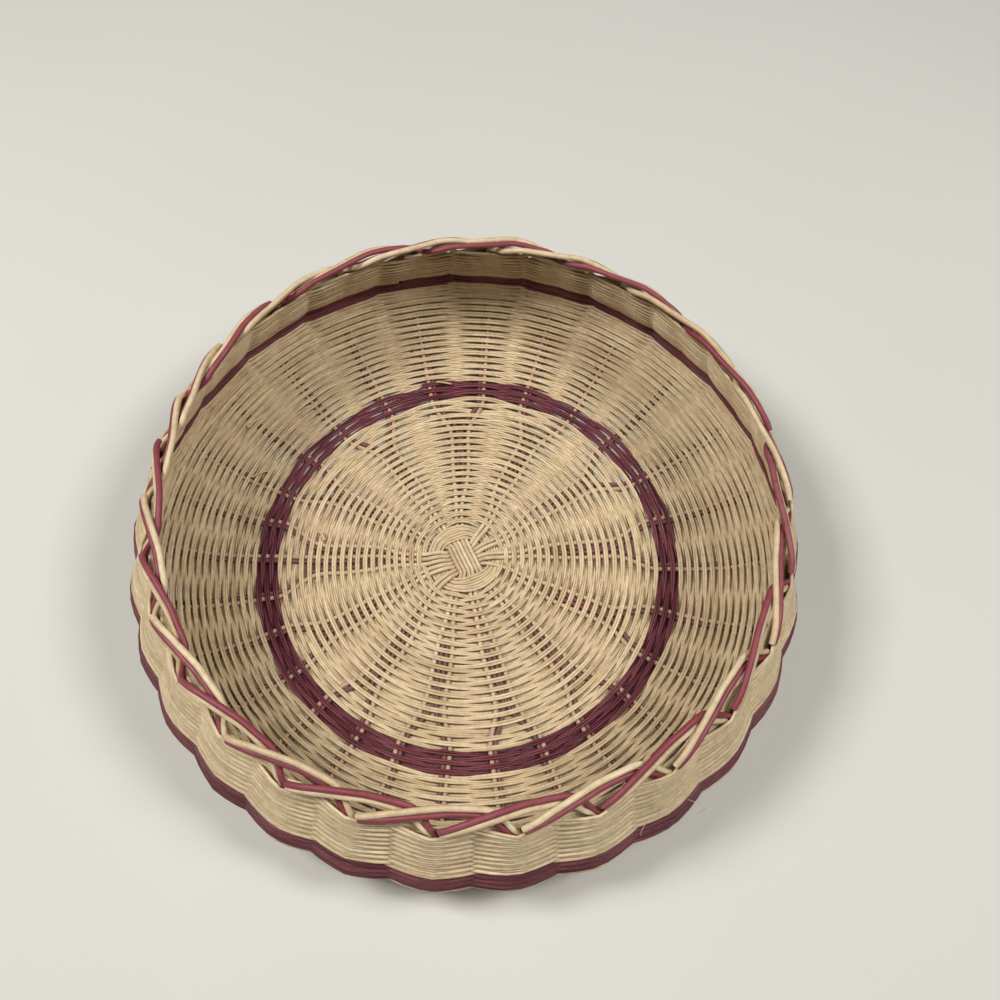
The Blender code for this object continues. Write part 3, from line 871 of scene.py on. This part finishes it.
def weave_band(start, end, pitch, rows_below, sizes, rng, grouped=False, lead=0.0, loose_turns=0.0):
    """Paths of the two weavers that fill the surface between two distances along it.

    They lie side by side where they pass a stake, and a little over each other between stakes. The
    first round can lead in before the start, and the last rounds can be loose, with gaps between.
    """
    thick = sizes.stake_diameter / MM
    rows = row_count(start, end, pitch)
    first_count = rows_below * STAKES
    pitch = (end - start) / rows
    steps = STEPS_PER_GROUP * len(GROUPS) if grouped else STEPS_PER_STAKE * STAKES
    turned = np.linspace(
        -360.0 * lead, 360.0 * (rows - SEAM_GAP_TURNS), int((rows + lead) * steps))
    azimuth = START_AZIMUTH + turned
    turn = turned / 360.0
    middle = start + pitch * (turn + FIRST_ROW)
    radius = np.interp(middle, WALL.along, WALL.radius)
    climb = share_between(np.interp(middle, WALL.along, WALL.height), *FULLER_HEIGHTS)
    thin = sizes.weaver_diameter / MM * (1.0 + WALL_FULLER * climb)
    count = crossing_count(azimuth, radius, grouped) + first_count
    wave = np.cos(np.pi * count)
    level = wave * wave
    apart = thin * (APART_BETWEEN + (APART_AT_STAKE - APART_BETWEEN) * level)
    stacked = 0.5 * thin * (1.0 - level)
    wave = wave * (1.0 + STEEPNESS - STEEPNESS * level)
    bulging = share_between(radius, *BULGE_R)
    rise = 0.5 * (thick + thin) - WEAVE_PRESS + WALL_EXTRA_RISE * bulging
    share = count - np.floor(count)
    loose = np.clip((turn - (rows - loose_turns)) / max(loose_turns, 1.0), 0.0, 1.0)
    thin = thin * (1.0 - LOOSE_THINNER * loose)
    middle = middle + LOOSE_BOW * loose * loose * (np.sin(np.pi * share) - LOOSE_BOW_MIDDLE)
    pulled_in = PULLED_IN * bulging * 4.0 * share * (1.0 - share)
    length = np.concatenate([[0.0], np.cumsum(radius[1:] * np.radians(np.diff(azimuth)))])
    sway = wander(length, sizes.wander / MM, rng)
    lean = 1.0 + wander(length, LEAN_WANDER, rng)
    paths = []
    for side in (-0.5, 0.5):
        along = middle + side * apart + sway
        along = along + wander(length, OWN_WANDER * sizes.wander / MM, rng)
        lift = rise * wave * lean + pulled_in + side * stacked
        lift = lift + wander(length, LIFT_WANDER, rng)
        widths = thin * (1.0 + wander(length, WIDTH_WANDER, rng))
        paths.append((WALL.point(azimuth, along, lift), widths))
    return paths


def woven_piece(name, bands, material, slot, rng, *nodes):
    items = []
    for paths in bands:
        for points, widths in paths:
            items.append(strand(name, points, widths, rng.uniform(0.0, 90.0)))
    return one_piece(name, items, material, slot, *nodes)


class BASKET_OT_locking_rounds(bpy.types.Operator):
    """Binds the centre cross with rounds that pass over two of its arms and under the other two."""

    bl_idname = "basket.locking_rounds"
    bl_label = "Locking rounds"

    def execute(self, context):
        rng = np.random.default_rng(5)
        azimuth = CROSS_AZIMUTH - 45.0 + np.linspace(
            0.0, 360.0 * LOCKING_ROUNDS - LOCKING_STOP, LOCKING_STEPS * LOCKING_ROUNDS)
        turn = (azimuth - azimuth[0]) / 360.0
        from_arm = np.radians(azimuth - CROSS_AZIMUTH)
        wave = np.clip(np.cos(2.0 * from_arm) * LOCKING_FLATNESS, -1.0, 1.0)
        square, rounder = LOCKING_SQUARE
        power = square - (square - rounder) * np.clip(turn / (LOCKING_ROUNDS - 1.0), 0.0, 1.0)
        corner = (np.abs(np.cos(from_arm)) ** power
                  + np.abs(np.sin(from_arm)) ** power) ** (-1.0 / power)
        over = LOCKING_TOP - LOCKING_SINK * turn - LOCKING_MIDDLE
        height = LOCKING_MIDDLE + wave * np.where(wave > 0, over, LOCKING_DROP)
        angle = np.radians(azimuth)
        items = []
        for side in (-0.5, 0.5):
            radius = (LOCKING_R + LOCKING_PITCH * turn + side * LOCKING_APART) * corner
            swayed = height + wander(radius * angle, ROUND_WANDER, rng)
            points = np.column_stack([radius * np.cos(angle), radius * np.sin(angle), swayed])
            widths = np.full(len(points), LOCKING_WIDTH)
            items.append(strand("round", points, widths, rng.uniform(0.0, 9.0)))
        material = reed_materials()["natural_weaver"]
        one_piece("woven_centre_locking_rounds", items, material, "natural_weave",
                  "centre_locking_rounds")
        return {"FINISHED"}


class BASKET_OT_base_weave(bpy.types.Operator):
    """Weaves the base: the inner rounds over groups of reeds, the dyed band, and the outer rounds."""

    bl_idname = "basket.base_weave"
    bl_label = "Base weave"

    def execute(self, context):
        sizes, _ = settings()
        rng = np.random.default_rng(31)
        materials = reed_materials()
        bands = woven_bands(sizes)
        inner = [weave_band(INNER_WEAVE_R, SWITCH_R, sizes.row_pitch, 0, sizes, rng, grouped=True,
                            lead=LEAD_IN_TURNS),
                 weave_band(*bands[0], sizes, rng)]
        woven_piece("woven_base_inner", inner, materials["natural_weaver"], "natural_weave", rng,
                    "base_weave_inner")
        band = [weave_band(*bands[1], sizes, rng)]
        woven_piece("woven_base_dyed_band", band, materials["dyed_weaver"], "dyed_weave", rng,
                    "base_dyed_band")
        outer = [weave_band(*bands[2], sizes, rng)]
        woven_piece("woven_base_outer", outer, materials["natural_weaver"], "natural_weave", rng,
                    "base_weave_outer")
        return {"FINISHED"}


class BASKET_OT_wall_weave(bpy.types.Operator):
    """Weaves the turn and the wall: natural rounds, the dyed band and natural rounds to the top."""

    bl_idname = "basket.wall_weave"
    bl_label = "Wall weave"

    def execute(self, context):
        sizes, _ = settings()
        rng = np.random.default_rng(47)
        materials = reed_materials()
        bands = woven_bands(sizes)[3:]
        pieces = (
            ("woven_turn", "natural_weaver", "natural_weave", "turn_weave"),
            ("woven_wall_lower", "natural_weaver", "natural_weave", "wall_weave_lower"),
            ("woven_wall_dyed_band", "dyed_weaver", "dyed_weave", "wall_dyed_band"),
            ("woven_wall_upper", "natural_weaver", "natural_weave", "wall_weave_upper"))
        for band, (name, material, slot, stands_for) in zip(bands, pieces):
            loose_turns = LOOSE_TURNS if name == "woven_wall_upper" else 0.0
            paths = weave_band(*band, sizes, rng, loose_turns=loose_turns)
            woven_piece(name, [paths], materials[material], slot, rng, stands_for)
        return {"FINISHED"}


class BASKET_OT_loose_ends(bpy.types.Operator):
    """Adds the weavers' loose ends that stick out of the weave, and a few torn fibres."""

    bl_idname = "basket.loose_ends"
    bl_label = "Loose ends"

    def execute(self, context):
        rng = np.random.default_rng(61)
        items = []
        for thick, places in LOOSE_ENDS:
            azimuth, along, lift = np.array(places, float).T
            path = smooth_path(WALL.point(azimuth, along, lift), 0.5)
            widths = thick * np.linspace(1.0, 0.8, len(path))
            items.append(strand("end", path, widths, rng.uniform(0.0, 9.0)))
        one_piece("loose_ends", items, reed_materials()["natural_weaver"], "natural_weave")
        return {"FINISHED"}


# Stage, in metres

FLOOR_COLOURS = ((0.57, 0.565, 0.53), (0.63, 0.625, 0.59))
LIGHTS = (
    ("left", (-0.80, -0.02, 1.27), 15.5),
    ("right", (0.78, 0.0, 1.28), 12.0),
    ("front", (-0.06, -0.34, 1.45), 2.5),
)
LIGHT_AIM = (0.0, 0.0, 0.03)
LIGHT_SIZE = 0.4
LIGHT_COLOUR = (1.0, 0.98, 0.94)
WORLD_COLOUR = (0.93, 0.96, 1.0, 1.0)
WORLD_STRENGTH = 0.09
CAMERA_PLACE = (0.0138, -0.1909, 0.4684)
CAMERA_RIGHT = (0.99738, 0.06508, 0.03163)
CAMERA_FORWARD = (0.0, 0.4371, -0.8994)
CAMERA_LENS = 36.0


def floor_material():
    """Plain pale floor, with a slight unevenness."""
    material = bpy.data.materials.new("pale_floor")
    material.use_nodes = True
    tree = material.node_tree
    shader = tree.nodes["Principled BSDF"]
    place = node(tree, "ShaderNodeTexCoord")
    noise = node(tree, "ShaderNodeTexNoise", {"Scale": 3.0, "Detail": 3.0})
    tree.links.new(place.outputs["Object"], noise.inputs["Vector"])
    colour = mix_colour(tree, noise.outputs["Fac"], *FLOOR_COLOURS)
    tree.links.new(colour, shader.inputs["Base Color"])
    shader.inputs["Roughness"].default_value = 0.8
    return material


def area_light(name, place, power):
    bpy.ops.object.light_add(type="AREA", location=place)
    light = bpy.context.view_layer.objects.active
    light.name = name
    aim = Vector(LIGHT_AIM) - Vector(place)
    light.rotation_euler = aim.to_track_quat("-Z", "Y").to_euler()
    light.data.size = LIGHT_SIZE
    light.data.energy = power
    light.data.color = LIGHT_COLOUR


def studio_world():
    """Dim pale light from all around."""
    world = bpy.data.worlds.new("studio")
    world.use_nodes = True
    background = world.node_tree.nodes["Background"]
    background.inputs["Color"].default_value = WORLD_COLOUR
    background.inputs["Strength"].default_value = WORLD_STRENGTH
    return world


def photo_camera():
    """Camera that looks down into the basket as the photograph does."""
    data = bpy.data.cameras.new("camera")
    data.sensor_width = 36.0
    data.lens = CAMERA_LENS
    data.clip_start = 0.01
    camera = bpy.data.objects.new("camera", data)
    right = Vector(CAMERA_RIGHT).normalized()
    forward = Vector(CAMERA_FORWARD).normalized()
    up = right.cross(forward).normalized()
    right = forward.cross(up)
    turned = Matrix((right, up, -forward)).transposed().to_4x4()
    camera.matrix_world = Matrix.Translation(CAMERA_PLACE) @ turned
    return camera


class BASKET_OT_stage(bpy.types.Operator):
    """Sets the camera at the photograph's place, a pale floor and soft light from above."""

    bl_idname = "basket.stage"
    bl_label = "Stage"

    def execute(self, context):
        bpy.ops.object.select_all(action="DESELECT")
        bpy.ops.mesh.primitive_plane_add(size=6.0, location=(0.0, 0.0, -0.0002))
        floor = bpy.context.view_layer.objects.active
        floor.name = "floor"
        floor.data.materials.append(floor_material())
        for name, place, power in LIGHTS:
            area_light(name, place, power)
        context.scene.world = studio_world()
        context.scene.view_settings.view_transform = "Standard"
        camera = photo_camera()
        context.scene.collection.objects.link(camera)
        context.scene.camera = camera
        return {"FINISHED"}


class BASKET_PT_panel(bpy.types.Panel):
    """Lists the sizes, the colours and the steps of the basket."""

    bl_idname = "BASKET_PT_panel"
    bl_label = "Round reed basket"
    bl_space_type = "VIEW_3D"
    bl_region_type = "UI"
    bl_category = "Basket"

    def draw(self, context):
        layout = self.layout
        for owner in (context.scene.basket_sizes, context.scene.basket_colours):
            box = layout.box()
            for name in owner.bl_rna.properties.keys():
                if name not in ("rna_type", "name"):
                    box.prop(owner, name)
        for operator in OPERATORS:
            layout.operator(operator.bl_idname)


OPERATORS = (
    BASKET_OT_natural_reeds,
    BASKET_OT_dyed_reeds,
    BASKET_OT_locking_rounds,
    BASKET_OT_base_weave,
    BASKET_OT_wall_weave,
    BASKET_OT_loose_ends,
    BASKET_OT_stage,
)
CLASSES = (BasketSizes, BasketColours) + OPERATORS + (BASKET_PT_panel,)


def register():
    for item in CLASSES:
        bpy.utils.register_class(item)
    bpy.types.Scene.basket_sizes = bpy.props.PointerProperty(type=BasketSizes)
    bpy.types.Scene.basket_colours = bpy.props.PointerProperty(type=BasketColours)


def unregister():
    del bpy.types.Scene.basket_colours
    del bpy.types.Scene.basket_sizes
    for item in reversed(CLASSES):
        bpy.utils.unregister_class(item)


def main():
    register()
    bpy.ops.basket.natural_reeds()
    bpy.ops.basket.dyed_reeds()
    bpy.ops.basket.locking_rounds()
    bpy.ops.basket.base_weave()
    bpy.ops.basket.wall_weave()
    bpy.ops.basket.loose_ends()
    bpy.ops.basket.stage()


if __name__ == "__main__":
    main()
